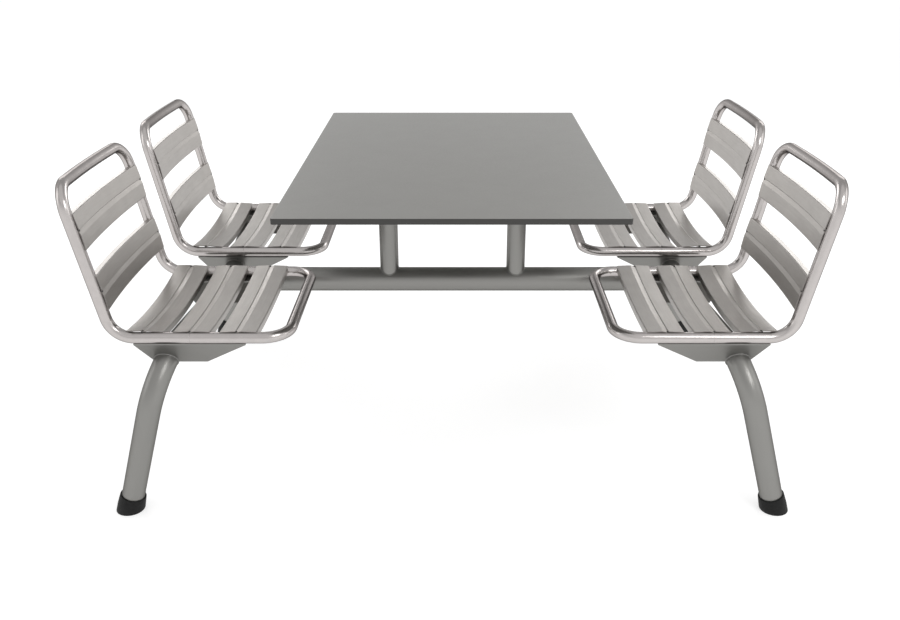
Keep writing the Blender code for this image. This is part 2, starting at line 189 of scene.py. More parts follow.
class CanteenSlat(PropertyGroup):
    """Sizes of the pressed slats."""

    width: length("Width", "Across a slat", 0.084)
    sheet: length("Sheet", "Thickness of the sheet", 0.002)
    flange: length("Flange", "Depth of the turned-down edges", 0.017)
    corner_radius: length("Corner radius", "Bend of the turned-down edges", 0.0025)
    groove_width: length("Groove width", "Across the pressed groove", 0.013)
    groove_steep: length("Steep side", "Width of the groove's steep side", 0.0016)
    groove_depth: length("Groove depth", "Depth of the pressed groove", 0.0022)
    crease_radius: length("Crease radius", "Bend of the groove's creases", 0.0004)
    crown: length("Crown", "How far a slat's edges lie below its middle", 0.0016)
    overhang: length("Overhang", "How far a slat passes the rail's axis", 0.003)
    clearance: length("Clearance", "Gap over the rails, below zero where a slat is pressed on", -0.0010)
    pitch: length("Seat pitch", "Between seat slats", 0.1045)
    inset: length("Seat inset", "From the foot of the back to the rear slat", 0.072)
    sag_rear: length("Rear sag", "Bow of the rear seat slat", 0.016)
    sag_middle: length("Middle sag", "Bow of the middle seat slat", 0.012)
    sag_front: length("Front sag", "Bow of the front seat slat", 0.008)
    rear_tilt: turn("Rear tilt", "Tilt of the rear seat slat", 1.7)
    back_rise: length("Back rise", "From the rails to the lower back slat", 0.107)
    back_pitch: length("Back pitch", "Between back slats", 0.1425)
    back_bow: length("Back bow", "Bow of the back slats", 0.011)
    rivet_diameter: length("Rivet diameter", "Head of the rivets at the slat ends", 0.007)
    rivet_height: length("Rivet height", "Height of the rivet heads", 0.0024)


class CanteenBracket(PropertyGroup):
    """Sizes of the folded seat brackets."""

    sheet: length("Sheet", "Thickness of the plate", 0.004)
    flange: length("Flange", "Width of the flange under the rail", 0.040)
    lip: length("Lip", "How far the fold passes the rail's axis", 0.003)
    fold_radius: length("Fold radius", "Outside of the fold", 0.0045)
    edge_radius: length("Edge radius", "Softening of the plate's edges", 0.0008)
    front: length("Front", "From the middle of the table to the flange", 0.463)
    length: length("Length", "Along the flange", 0.251)
    foot_front: length("Foot front", "From the middle of the table to the web's lower edge", 0.562)
    foot_length: length("Foot length", "Along the web's lower edge", 0.120)
    drop: length("Drop", "From the leg's axis to the web's lower edge", 0.0235)
    slope: turn("Slope", "Lean of the web", 30.0)
    clearance: length("Clearance", "Gap under the rail", 0.0003)


class CanteenFinish(PropertyGroup):
    """Colours of the finishes."""

    laminate: colour("Laminate", "Face of the table top", "#8B8A87")
    core: colour("Core", "Edge of the table top", "#3D3C3A")
    coat: colour("Coat", "Coated steel of beam, posts, legs and brackets", "#92918E")
    tube: colour("Tube", "Polished aluminium of the chair frames", "#C2BDBB")
    slat: colour("Slat", "Satin aluminium of the slats", "#A7A39F")
    sawn: colour("Sawn edge", "Cut ends of the slats", "#96918E")
    rivet: colour("Rivet", "Rivets at the slat ends", "#5B5957")
    rubber: colour("Rubber", "Feet", "#0C0C0C")
    plastic: colour("Plastic", "Plugs in the beam", "#262626")
    floor: colour("Floor", "Studio floor", "#C4C4C4")


class CanteenStage(PropertyGroup):
    """Camera and light."""

    focal_pixels: number("Focal length", "In pixels of the picture", 902.39)
    centre_pixel: number("Centre", "Pixel column of the view axis", 455.0)
    camera_place: FloatVectorProperty(
        name="Camera", description="Where the camera stands", default=(0.0068, -2.3056, 1.3165),
        subtype="TRANSLATION", unit="LENGTH")
    camera_pitch: turn("Pitch", "How far the camera looks down", 23.81)
    floor_size: length("Floor", "Side of the studio floor", 60.0)
    floor_drop: length("Floor drop", "Gap under the soles", 0.0005)
    floor_lift: number("Floor lift", "Light that the floor adds of itself", 0.63)
    horizon_strength: number("Horizon", "Brightness of the surround, low down", 1.0)
    zenith_strength: number("Zenith", "Brightness of the surround, overhead", 0.50)
    horizon_rise: turn("Horizon rise", "How high the bright part of the surround reaches", 58.0)
    sky_strength: number("Sky light", "Broad even light from the front", 0.35)
    sky_height: turn("Sky height", "How high the sky light stands", 68.0)
    sky_spread: turn("Sky spread", "How broad the sky light looks", 75.0)
    key_power: number("Key light", "Softbox in front, to the right of the camera", 20.0, "POWER")
    side_power: number("Side light", "Each softbox at the sides", 8.0, "POWER")
    back_power: number("Back light", "Each softbox behind", 29.0, "POWER")


def add_node(tree, kind, inputs=None, **settings):
    """Add a shader node, with its settings, and set or link its inputs."""
    node = tree.nodes.new("ShaderNode" + kind)
    for name, value in settings.items():
        setattr(node, name, value)
    for name, value in (inputs or {}).items():
        if isinstance(value, bpy.types.NodeSocket):
            tree.links.new(value, node.inputs[name])
        else:
            node.inputs[name].default_value = value
    return node


def new_material(name, metallic=0.0, ior=None):
    """A material with an empty tree but for its Principled shader and output."""
    material = bpy.data.materials.new(name)
    material.use_nodes = True
    tree = material.node_tree
    shader = tree.nodes["Principled BSDF"]
    shader.inputs["Metallic"].default_value = metallic
    if ior is not None:
        shader.inputs["IOR"].default_value = ior
    return material, tree, shader


def grain(tree, detail, across, along=None):
    """Noise with specks of a real size, which may be longer along Y than across it."""
    place = add_node(tree, "TexCoord").outputs["Object"]
    scale = (1 / across, 1 / (along or across), 1 / across)
    scaled = add_node(tree, "Mapping", {"Vector": place, "Scale": scale})
    noise = add_node(tree, "TexNoise", {"Vector": scaled.outputs["Vector"], "Scale": 1.0, "Detail": detail})
    return noise.outputs["Fac"]


def varied(tree, shader, base, tones, darkest, gloss, rough, relief=None, depth=0.0):
    """Let a finish vary with its grains.

    The colour runs up to its base with tones, the roughness over its range with gloss, and
    relief raises bumps of a real depth.
    """
    band = {"From Min": NOISE_LOW, "From Max": NOISE_HIGH}
    amount = add_node(tree, "MapRange", {"Value": tones, **band})
    mix = add_node(tree, "Mix", {"Factor": amount.outputs["Result"]}, data_type="RGBA")
    dark, light = [socket for socket in mix.inputs if socket.type == "RGBA"]
    dark.default_value = (*(channel * darkest for channel in base), 1.0)
    light.default_value = (*base, 1.0)
    mixed = [socket for socket in mix.outputs if socket.type == "RGBA"][0]
    tree.links.new(mixed, shader.inputs["Base Color"])
    low, high = rough
    shine = add_node(tree, "MapRange", {"Value": gloss, **band, "To Min": low, "To Max": high})
    tree.links.new(shine.outputs["Result"], shader.inputs["Roughness"])
    if relief is not None:
        bump = add_node(tree, "Bump", {"Height": relief, "Distance": depth})
        tree.links.new(bump.outputs["Normal"], shader.inputs["Normal"])


def satin_anodised_aluminium(finish):
    """Aluminium sheet, rolled and satin anodised: soft grey, with faint streaks along the slat."""
    material, tree, shader = new_material("satin_anodised_aluminium", metallic=1.0)
    # Rolling streaks are finer than this: 3 mm across is as fine as the render shows
    streaks = grain(tree, detail=3.0, across=3 * MM, along=120 * MM)
    clouds = grain(tree, detail=2.0, across=45 * MM, along=70 * MM)
    varied(tree, shader, finish.slat, tones=clouds, darkest=0.93, gloss=streaks, rough=(0.36, 0.46),
           relief=clouds, depth=0.4 * MM)
    return material


def sawn_aluminium(finish):
    """Cut end of the sheet: raw and dull, so that the slat ends don't shine."""
    material, tree, shader = new_material("sawn_aluminium", metallic=1.0)
    marks = grain(tree, detail=2.0, across=2 * MM)
    varied(tree, shader, finish.sawn, tones=marks, darkest=0.80, gloss=marks, rough=(0.55, 0.65))
    return material


def dark_rivet_steel(finish):
    """Steel rivet head: darker than the sheet, so that each shows as a small dark dot, with a soft shine."""
    material, tree, shader = new_material("dark_rivet_steel", metallic=1.0)
    marks = grain(tree, detail=2.0, across=1 * MM)
    varied(tree, shader, finish.rivet, tones=marks, darkest=0.80, gloss=marks, rough=(0.35, 0.50))
    return material


def polished_drawn_aluminium(finish):
    """Drawn aluminium tube, polished: bright highlights and dark reflections, slightly soft."""
    material, tree, shader = new_material("polished_drawn_aluminium", metallic=1.0)
    haze = grain(tree, detail=3.0, across=20 * MM)
    varied(tree, shader, finish.tube, tones=haze, darkest=0.94, gloss=haze, rough=(0.22, 0.25))
    shader.inputs["Specular Tint"].default_value = EDGE_SHADE
    return material


def silver_coated_steel(finish):
    """Steel tube under a silver-grey coat: satin, with a faint orange peel."""
    material, tree, shader = new_material("silver_coated_steel", metallic=0.85)
    peel = grain(tree, detail=2.0, across=4 * MM)
    patches = grain(tree, detail=2.0, across=70 * MM)
    varied(tree, shader, finish.coat, tones=patches, darkest=0.95, gloss=patches, rough=(0.34, 0.42),
           relief=peel, depth=0.08 * MM)
    shader.inputs["Specular Tint"].default_value = EDGE_SHADE
    return material


def matt_compact_laminate(finish):
    """Compact laminate, pressed with a fine matt texture: even grey with a faint mottle."""
    material, tree, shader = new_material("matt_compact_laminate", ior=1.5)
    mottle = grain(tree, detail=3.0, across=60 * MM)
    texture = grain(tree, detail=2.0, across=3 * MM)
    varied(tree, shader, finish.laminate, tones=mottle, darkest=0.97, gloss=texture, rough=(0.50, 0.60),
           relief=texture, depth=0.05 * MM)
    return material


def cut_phenolic_core(finish):
    """Cut edge of compact laminate: dark phenolic core with faint layers."""
    material, tree, shader = new_material("cut_phenolic_core", ior=1.5)
    layers = grain(tree, detail=2.0, across=2 * MM, along=80 * MM)
    varied(tree, shader, finish.core, tones=layers, darkest=0.85, gloss=layers, rough=(0.45, 0.55))
    return material


def moulded_rubber(finish):
    """Moulded rubber: near black and dull, with a fine bloom."""
    material, tree, shader = new_material("moulded_rubber", ior=1.52)
    bloom = grain(tree, detail=4.0, across=5 * MM)
    varied(tree, shader, finish.rubber, tones=bloom, darkest=0.75, gloss=bloom, rough=(0.60, 0.75),
           relief=bloom, depth=0.15 * MM)
    shader.inputs["Specular IOR Level"].default_value = 0.3
    return material


def moulded_polyethylene(finish):
    """Moulded polyethylene plug: black, with a soft sheen."""
    material, tree, shader = new_material("moulded_polyethylene", ior=1.5)
    texture = grain(tree, detail=3.0, across=4 * MM)
    varied(tree, shader, finish.plastic, tones=texture, darkest=0.85, gloss=texture, rough=(0.42, 0.52))
    return material


def material_for(make, finish):
    """The finish made by a function of its own name, made once."""
    return bpy.data.materials.get(make.__name__) or make(finish)


def new_object(name, data):
    """An object in the scene, made of a mesh, a curve, a lamp or a camera."""
    item = bpy.data.objects.new(name, data)
    bpy.context.scene.collection.objects.link(item)
    return item


def finish_piece(bm, name, material, replaces=()):
    """Close a bmesh, make a piece of it, and let it ride on the object."""
    bmesh.ops.remove_doubles(bm, verts=bm.verts[:], dist=MERGE_DISTANCE)
    bmesh.ops.recalc_face_normals(bm, faces=bm.faces[:])
    mesh = bpy.data.meshes.new(name)
    bm.to_mesh(mesh)
    bm.free()
    mesh.shade_smooth()
    mesh.set_sharp_from_angle(angle=SMOOTH_ANGLE)
    mesh.materials.append(material)
    piece = new_object(name, mesh)
    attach(piece, BODY)
    if replaces:
        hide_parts(*replaces)
    return piece


def soften(piece, width):
    """Break a piece's sharp edges with a small bevel."""
    bevel = piece.modifiers.new("soft_edges", "BEVEL")
    bevel.width = width
    bevel.segments = SOFT_STEPS
    bevel.limit_method = "ANGLE"
    bevel.angle_limit = SMOOTH_ANGLE
    bevel.harden_normals = True


def flatten(piece):
    """Let the wide flat faces set the shading, so that only the bends look round."""
    normals = piece.modifiers.new("flat_faces", "WEIGHTED_NORMAL")
    normals.keep_sharp = True
    normals.weight = FLAT_WEIGHT


def facing(direction):
    """A turn that points Z along a direction."""
    return direction.to_track_quat("Z", "Y").to_matrix().to_4x4()


def only(kind, items):
    """The items of one kind among those that an operator gives back."""
    return [item for item in items if isinstance(item, kind)]


def ring_verts(edges):
    """The vertices of a ring of edges, each once."""
    return list(dict.fromkeys(vert for edge in edges for vert in edge.verts))


def carry_on(bm, edges, run, steps):
    """Extrude an open ring along a straight run."""
    for _ in range(steps):
        grown = bmesh.ops.extrude_edge_only(bm, edges=edges)["geom"]
        fresh = set(only(bmesh.types.BMVert, grown))
        bmesh.ops.translate(bm, verts=list(fresh), vec=run / steps)
        edges = [edge for edge in only(bmesh.types.BMEdge, grown) if fresh.issuperset(edge.verts)]
    return edges


def swept_tube(corners, radius, bend_radius, steps=1):
    """A round tube: a ring is carried along each run and spun round each bend.

    Gives back the mesh, its first ring and its last ring.
    """
    bm = bmesh.new()
    place = Matrix.Translation(corners[0]) @ facing(corners[1] - corners[0])
    bmesh.ops.create_circle(bm, segments=TUBE_SIDES, radius=radius, matrix=place)
    first = edges = bm.edges[:]
    at = corners[0]
    for before, corner, after in zip(corners, corners[1:], corners[2:]):
        towards = (corner - before).normalized()
        away = (after - corner).normalized()
        angle = towards.angle(away)
        axis = towards.cross(away).normalized()
        start = corner - towards * bend_radius * math.tan(angle / 2)
        centre = start + axis.cross(towards) * bend_radius
        edges = carry_on(bm, edges, start - at, steps)
        bent = bmesh.ops.spin(bm, geom=edges + ring_verts(edges), cent=centre, axis=axis, angle=angle,
                              steps=BEND_STEPS)
        edges = only(bmesh.types.BMEdge, bent["geom_last"])
        at = centre + Matrix.Rotation(angle, 3, axis) @ (start - centre)
    edges = carry_on(bm, edges, corners[-1] - at, steps)
    return bm, first, edges


def turned(profile, steps=TUBE_SIDES):
    """A body turned about Z from its outline of radius and height."""
    bm = bmesh.new()
    verts = [bm.verts.new((radius, 0.0, height)) for radius, height in profile]
    edges = [bm.edges.new(pair) for pair in zip(verts, verts[1:])]
    bmesh.ops.spin(bm, geom=verts + edges, cent=(0, 0, 0), axis=(0, 0, 1), angle=math.tau, steps=steps,
                   use_merge=True)
    bmesh.ops.remove_doubles(bm, verts=bm.verts[:], dist=MERGE_DISTANCE)
    return bm


def put(bm, place):
    """Move a whole mesh to its place."""
    bmesh.ops.transform(bm, matrix=place, verts=bm.verts[:])


def close_rings(bm, *rings):
    """Close each open ring with a flat face."""
    for ring in rings:
        bmesh.ops.edgeloop_fill(bm, edges=ring)


def sliced(bm, point, normal, drop=False):
    """Slice a mesh by a plane, drop the normal's side where asked, and give back the new edges."""
    cut = bmesh.ops.bisect_plane(bm, geom=bm.verts[:] + bm.edges[:] + bm.faces[:], plane_co=point,
                                 plane_no=normal, clear_outer=drop)
    return only(bmesh.types.BMEdge, cut["geom_cut"])


def rounded(bm, items, radius, segments, affect):
    """Round some edges of a body, or some corners of a flat outline."""
    bmesh.ops.bevel(bm, geom=items, offset=radius, segments=segments, profile=ROUND_PROFILE,
                    affect=affect, material=KEEP_MATERIAL)


def ordered_loop(edges):
    """The points of a closed ring of edges, in order, from its lowest corner on."""
    ring = set(edges)

    def rank(vert):
        return [round(part / MERGE_DISTANCE) for part in vert.co.zxy]

    start = min(ring_verts(edges), key=rank)
    ways = [link for link in start.link_edges if link in ring]
    edge = min(ways, key=lambda link: rank(link.other_vert(start)))
    points, vert = [start.co.copy()], edge.other_vert(start)
    while vert is not start:
        points.append(vert.co.copy())
        edge = next(link for link in vert.link_edges if link in ring and link is not edge)
        vert = edge.other_vert(vert)
    return points


def weld_bead(bm, points, radius):
    """Add a closed bead along a ring of points to a mesh."""
    curve = bpy.data.curves.new("bead", "CURVE")
    curve.dimensions = "3D"
    curve.bevel_depth = radius
    curve.bevel_resolution = ROUND_STEPS
    spline = curve.splines.new("POLY")
    spline.points.add(len(points) - 1)
    for index, (spline_point, point) in enumerate(zip(spline.points, points)):
        spline_point.co = (*point, 1.0)
        spline_point.radius = 1.0 + BEAD_RIPPLE * (-1) ** index
    spline.use_cyclic_u = True
    path = new_object("bead", curve)
    graph = bpy.context.evaluated_depsgraph_get()
    mesh = bpy.data.meshes.new_from_object(path.evaluated_get(graph))
    bm.from_mesh(mesh)
    bpy.data.objects.remove(path)
    bpy.data.curves.remove(curve)
    bpy.data.meshes.remove(mesh)


def seat_place(side, end, seat):
    """Where a chair goes: its own +X looks at the table."""
    about = Matrix.Rotation(0.0 if side < 0 else math.pi, 4, "Z")
    return Matrix.Translation((0.0, end * seat.seat_spacing / 2, 0.0)) @ about


def back_axes(seat):
    """Directions up along a chair's back and out of its front face."""
    upright = Vector((-math.sin(seat.recline), 0.0, math.cos(seat.recline)))
    out = Vector((math.cos(seat.recline), 0.0, math.sin(seat.recline)))
    return upright, out


def leg_corners(side, end, table, legs):
    """Root, knee and end of a leg's axis."""
    root = Vector((side * legs.root_out, 0.0, table.beam_height))
    knee = Vector((side * legs.knee_out, end * legs.knee_along, table.beam_height))
    floor = Vector((side * legs.foot_out, end * legs.foot_along, 0.0))
    tilt = (floor - knee).angle(Vector((0.0, 0.0, -1.0)))
    end_height = legs.sole + legs.diameter / 2 * math.sin(tilt)
    return root, knee, floor.lerp(knee, end_height / table.beam_height)


def slat_section(slat):
    """Corners of a slat's cross-section, across the slat and below its top face."""
    half = slat.width / 2
    groove = slat.groove_width / 2
    groove_floor = slat.groove_steep - groove
    wall = half - slat.sheet
    front = [(groove, 0.0), (half, slat.crown), (half, slat.flange), (wall, slat.flange),
             (wall, slat.crown + slat.sheet), (groove, slat.sheet)]
    rear = [(-across, depth) for across, depth in reversed(front)]
    lowest = [(groove_floor, slat.groove_depth + slat.sheet)]
    return [(groove_floor, slat.groove_depth)] + front + lowest + rear


def slat_bow(slat, seat, sag):
    """Radius of a slat's top face, height of its centre over the rails, and two angles there.

    The first angle runs from the middle to a rail, the second on to the slat's end.
    """
    half_rails = seat.rail_spacing / 2
    under_radius = (half_rails ** 2 + sag ** 2) / (2 * sag)
    reach = under_radius + seat.tube_diameter / 2 + slat.clearance
    height = math.sqrt(reach ** 2 - half_rails ** 2)
    rail_angle = math.asin(half_rails / reach)
    return under_radius - slat.sheet - slat.groove_depth, height, rail_angle, slat.overhang / under_radius


def slat_places(slat, seat):
    """Name, place in the chair and bow of each slat of a chair."""
    found = []
    back = -seat.front - seat.depth
    sags = {"rear": slat.sag_rear, "middle": slat.sag_middle, "front": slat.sag_front}
    for index, (name, sag) in enumerate(sags.items()):
        place = Matrix.Translation((back + slat.inset + index * slat.pitch, 0.0, seat.rail_height))
        if index == 0:
            pivot = Matrix.Translation((slat.width / 2, 0.0, seat.tube_diameter / 2))
            place = place @ pivot @ Matrix.Rotation(slat.rear_tilt, 4, "Y") @ pivot.inverted()
        found.append(("seat_slat_" + name, place, sag))
    upright, out = back_axes(seat)
    axes = Matrix((-upright, upright.cross(out), out)).transposed().to_4x4()
    for index, name in enumerate(("lower", "upper")):
        rise = slat.back_rise + index * slat.back_pitch
        centre = Vector((back, 0.0, seat.rail_height)) + upright * rise
        found.append(("back_slat_" + name, Matrix.Translation(centre) @ axes, slat.back_bow))
    return found


def bracket_outline(bracket, seat, table):
    """Heights and edges of a bracket's section."""
    top = seat.rail_height - seat.tube_diameter / 2 - bracket.clearance
    fold = top - bracket.sheet
    bottom = table.beam_height - bracket.drop
    outer = seat.rail_spacing / 2 + bracket.lip
    lower = outer - (fold - bottom) * math.tan(bracket.slope)
    return {"top": top, "fold": fold, "bottom": bottom, "outer": outer, "lower": lower}


class CANTEEN_OT_table_top(Operator):
    """Make the laminate top and finish the bars under it"""

    bl_idname = "canteen.table_top"
    bl_label = "Table Top"

    def execute(self, context):
        table, finish = context.scene.canteen_table, context.scene.canteen_finish
        low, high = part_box("table_top")
        bm = bmesh.new()
        place = Matrix.Translation((low + high) / 2) @ Matrix.Diagonal((*(high - low), 1.0))
        bmesh.ops.create_cube(bm, size=1.0, matrix=place)
        corners = [edge for edge in bm.edges if edge.verts[0].co.xy == edge.verts[1].co.xy]
        rounded(bm, corners, table.corner_radius, CORNER_STEPS, "EDGES")
        rims = [edge for edge in bm.edges if edge.verts[0].co.z == edge.verts[1].co.z]
        rounded(bm, rims, table.edge_radius, EDGE_STEPS, "EDGES")
        face_sheet = material_for(matt_compact_laminate, finish)
        piece = finish_piece(bm, "laminate_board", face_sheet, ["table_top"])
        piece.data.materials.append(material_for(cut_phenolic_core, finish))
        for face in piece.data.polygons:
            face.material_index = int(abs(face.normal.z) <= math.cos(SMOOTH_ANGLE))
        for side in SIDES:
            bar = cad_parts[side + "_support_bar"]
            bar.data.materials.clear()
            bar.data.materials.append(material_for(silver_coated_steel, finish))
        return {"FINISHED"}


class CANTEEN_OT_beam(Operator):
    """Make the cross beam and the plugs in its ends"""

    bl_idname = "canteen.beam"
    bl_label = "Beam"

    def execute(self, context):
        table, finish = context.scene.canteen_table, context.scene.canteen_finish
        radius = table.beam_diameter / 2
        across = Vector((table.beam_length / 2, 0.0, 0.0))
        middle = Vector((0.0, 0.0, table.beam_height))
        bm, first, last = swept_tube([middle - across, middle + across], radius, radius)
        close_rings(bm, first, last)
        steel = material_for(silver_coated_steel, finish)
        beam = finish_piece(bm, "beam_tube", steel, ["cross_beam"])
        soften(beam, table.edge_radius)
        flange = table.cap_flange
        profile = [(0.0, 0.0), (radius, 0.0), (radius, flange / 2), (radius - flange / 2, flange),
                   (0.0, flange)]
        plastic = material_for(moulded_polyethylene, finish)
        for name, side in SIDES.items():
            cap = turned(profile)
            outwards = Matrix.Rotation(side * math.pi / 2, 4, "Y")
            put(cap, Matrix.Translation(middle + across * side) @ outwards)
            finish_piece(cap, name + "_beam_plug", plastic, [name + "_beam_cap"])
        return {"FINISHED"}


class CANTEEN_OT_posts(Operator):
    """Make the posts, saddled and welded on the beam"""

    bl_idname = "canteen.posts"
    bl_label = "Posts"

    def execute(self, context):
        table, finish = context.scene.canteen_table, context.scene.canteen_finish
        beam_radius = table.beam_diameter / 2
        steel = material_for(silver_coated_steel, finish)
        welds = bmesh.new()
        for name, side in SIDES.items():
            foot = Vector((side * table.post_spacing / 2, 0.0, table.beam_height))
            bar_low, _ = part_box(name + "_support_bar")
            head = Vector((foot.x, foot.y, bar_low.z))
            bm, first, last = swept_tube([foot, head], table.post_diameter / 2, beam_radius)
            for vert in ring_verts(first):
                vert.co.z += math.sqrt(beam_radius ** 2 - vert.co.y ** 2)
            weld_bead(welds, ordered_loop(first), table.bead)
            weld_bead(welds, ordered_loop(last), table.bead)
            close_rings(bm, first, last)
            finish_piece(bm, name + "_post_tube", steel, [name + "_post"])
        finish_piece(welds, "post_welds", steel)
        return {"FINISHED"}


class CANTEEN_OT_brackets(Operator):
    """Make the folded brackets under the chairs"""

    bl_idname = "canteen.brackets"
    bl_label = "Brackets"

    def execute(self, context):
        scene = context.scene
        steel = material_for(silver_coated_steel, scene.canteen_finish)
        for name, side, end in SEATS:
            place = seat_place(side, end, scene.canteen_seat)
            outer_hand = end if side < 0 else -end
            for hand_name, hand in (("outer", outer_hand), ("inner", -outer_hand)):
                bm = self.folded(scene, hand)
                put(bm, place)
                node = name + "_bracket_" + hand_name
                piece = finish_piece(bm, node + "_plate", steel, [node])
                soften(piece, scene.canteen_bracket.edge_radius)
        return {"FINISHED"}

    def folded(self, scene, hand):
        """One bracket under a chair that looks along +X."""
        bracket = scene.canteen_bracket
        line = bracket_outline(bracket, scene.canteen_seat, scene.canteen_table)
        web = bracket.sheet / math.cos(bracket.slope)
        knee = line["outer"] + (line["top"] - line["fold"]) * math.tan(bracket.slope)
        rim = line["outer"] - bracket.flange
        outline = [(rim, line["top"]), (knee, line["top"]), (line["lower"], line["bottom"]),
                   (line["lower"] - web, line["bottom"]), (line["outer"] - web, line["fold"]),
                   (rim, line["fold"])]
        front, rear = -bracket.front, -bracket.front - bracket.length
        foot_front, foot_rear = -bracket.foot_front, -bracket.foot_front - bracket.foot_length
        bm = bmesh.new()
        verts = [bm.verts.new((rear, hand * across, height)) for across, height in outline]
        bm.faces.new(verts)
        _, outer_bend, _, _, inner_bend, _ = verts
        rounded(bm, [outer_bend], bracket.fold_radius, ROUND_STEPS, "VERTICES")
        rounded(bm, [inner_bend], bracket.fold_radius - bracket.sheet, ROUND_STEPS, "VERTICES")
        grown = bmesh.ops.extrude_face_region(bm, geom=bm.faces[:])["geom"]
        fresh = only(bmesh.types.BMVert, grown)
        bmesh.ops.translate(bm, verts=fresh, vec=(front - rear, 0.0, 0.0))
        bmesh.ops.recalc_face_normals(bm, faces=bm.faces[:])
        drop = line["fold"] - line["bottom"]
        for edge, foot, way in ((rear, foot_rear, -1.0), (front, foot_front, 1.0)):
            normal = (way * drop, 0.0, -way * (edge - foot))
            close_rings(bm, sliced(bm, (edge, 0.0, line["fold"]), normal, drop=True))
        return bm


class CANTEEN_OT_legs(Operator):
    """Make the bent legs, with their welds to the beam and the brackets"""

    bl_idname = "canteen.legs"
    bl_label = "Legs"

    def execute(self, context):
        scene = context.scene
        table, legs, finish = scene.canteen_table, scene.canteen_legs, scene.canteen_finish
        steel = material_for(silver_coated_steel, finish)
        beam_radius = table.beam_diameter / 2
        for name, side, end in SEATS:
            root, knee, foot = leg_corners(side, end, table, legs)
            bm, first, last = swept_tube([root, knee, foot], legs.diameter / 2, legs.bend_radius)
            run = (knee - root).normalized()
            for vert in ring_verts(first):
                rise = vert.co.z - table.beam_height
                reach = math.sqrt(beam_radius ** 2 - rise ** 2)
                vert.co += run * (end * reach - vert.co.y) / run.y
            welds = bmesh.new()
            weld_bead(welds, ordered_loop(first), table.bead)
            for hand in HANDS:
                self.web_bead(context, welds, bm, seat_place(side, end, scene.canteen_seat), hand)
            finish_piece(welds, name + "_leg_welds", steel)
            close_rings(bm, first, last)
            finish_piece(bm, name + "_leg_tube", steel, [name + "_leg"])
        return {"FINISHED"}

    def web_bead(self, context, welds, leg, place, hand):
        """Add the bead where a leg comes through the outer face of a bracket's web."""
        table, bracket = context.scene.canteen_table, context.scene.canteen_bracket
        outline = bracket_outline(bracket, context.scene.canteen_seat, table)
        point = place @ Vector((0.0, hand * outline["outer"], outline["fold"]))
        normal = place.to_3x3() @ Vector((0.0, hand * math.cos(bracket.slope), -math.sin(bracket.slope)))
        copy = leg.copy()
        ring = sliced(copy, point, normal)
        if ring:
            weld_bead(welds, ordered_loop(ring), table.bead)
        copy.free()


class CANTEEN_OT_feet(Operator):
    """Make the rubber feet"""

    bl_idname = "canteen.feet"
    bl_label = "Feet"

    def execute(self, context):
        scene = context.scene
        table, legs = scene.canteen_table, scene.canteen_legs
        rubber = material_for(moulded_rubber, scene.canteen_finish)
        for name, side, end in SEATS:
            _, knee, foot = leg_corners(side, end, table, legs)
            mouth = legs.foot_height - foot.z
            wide, narrow, inner = legs.foot_diameter / 2, legs.mouth_diameter / 2, legs.diameter / 2
            profile = [(0.0, -legs.foot_height), (wide, -legs.foot_height), (wide, -legs.sole / 2),
                       (narrow, mouth - legs.lip), (narrow - legs.lip / 4, mouth - legs.lip / 4),
                       (narrow - legs.lip, mouth), (inner, mouth), (inner, 0.0), (0.0, 0.0)]
            bm = turned(profile)
            put(bm, Matrix.Translation(foot) @ facing(knee - foot))
            close_rings(bm, sliced(bm, (0.0, 0.0, 0.0), (0.0, 0.0, -1.0), drop=True))
            cup = finish_piece(bm, name + "_foot_rubber", rubber, [name + "_foot"])
            soften(cup, legs.lip / 2)
        return {"FINISHED"}


class CANTEEN_OT_seat_frames(Operator):
    """Make the bent tube frames of the chairs"""

    bl_idname = "canteen.seat_frames"
    bl_label = "Seat Frames"

    def execute(self, context):
        seat, finish = context.scene.canteen_seat, context.scene.canteen_finish
        half = seat.rail_spacing / 2
        upright, out = back_axes(seat)
        front = Vector((-seat.front, 0.0, seat.rail_height))
        back = Vector((-seat.front - seat.depth, 0.0, seat.rail_height))
        top = back + upright * seat.back_height / math.cos(seat.recline)
        across = Vector((0.0, half, 0.0))
        loop = [front, front + across, back + across, top + across, top - across, back - across,
                front - across, front]
        polished = material_for(polished_drawn_aluminium, finish)
        for name, side, end in SEATS:
            bm, _, _ = swept_tube(loop, seat.tube_diameter / 2, seat.bend_radius, BAR_STEPS)
            for vert in bm.verts:
                if (vert.co - top).dot(upright) > -seat.bend_radius:
                    spread = min(abs(vert.co.y) / half, 1.0)
                    vert.co -= out * seat.bow * (1 - spread ** 2)
            self.seam(bm, seat)
            put(bm, seat_place(side, end, seat))
            finish_piece(bm, name + "_seat_tube", polished, [name + "_seat_frame"])
        return {"FINISHED"}

    def seam(self, bm, seat):
        """Press the joint line into both rails."""
        for shift in (-seat.seam_width / 2, 0.0, seat.seam_width / 2):
            sliced(bm, (shift - seat.seam_out, 0.0, 0.0), (1.0, 0.0, 0.0))
        shrink = 1 - 2 * seat.seam_depth / seat.tube_diameter
        for vert in bm.verts:
            if abs(vert.co.x + seat.seam_out) < MERGE_DISTANCE:
                rail = math.copysign(seat.rail_spacing / 2, vert.co.y)
                axis = Vector((vert.co.x, rail, seat.rail_height))
                vert.co = axis + (vert.co - axis) * shrink


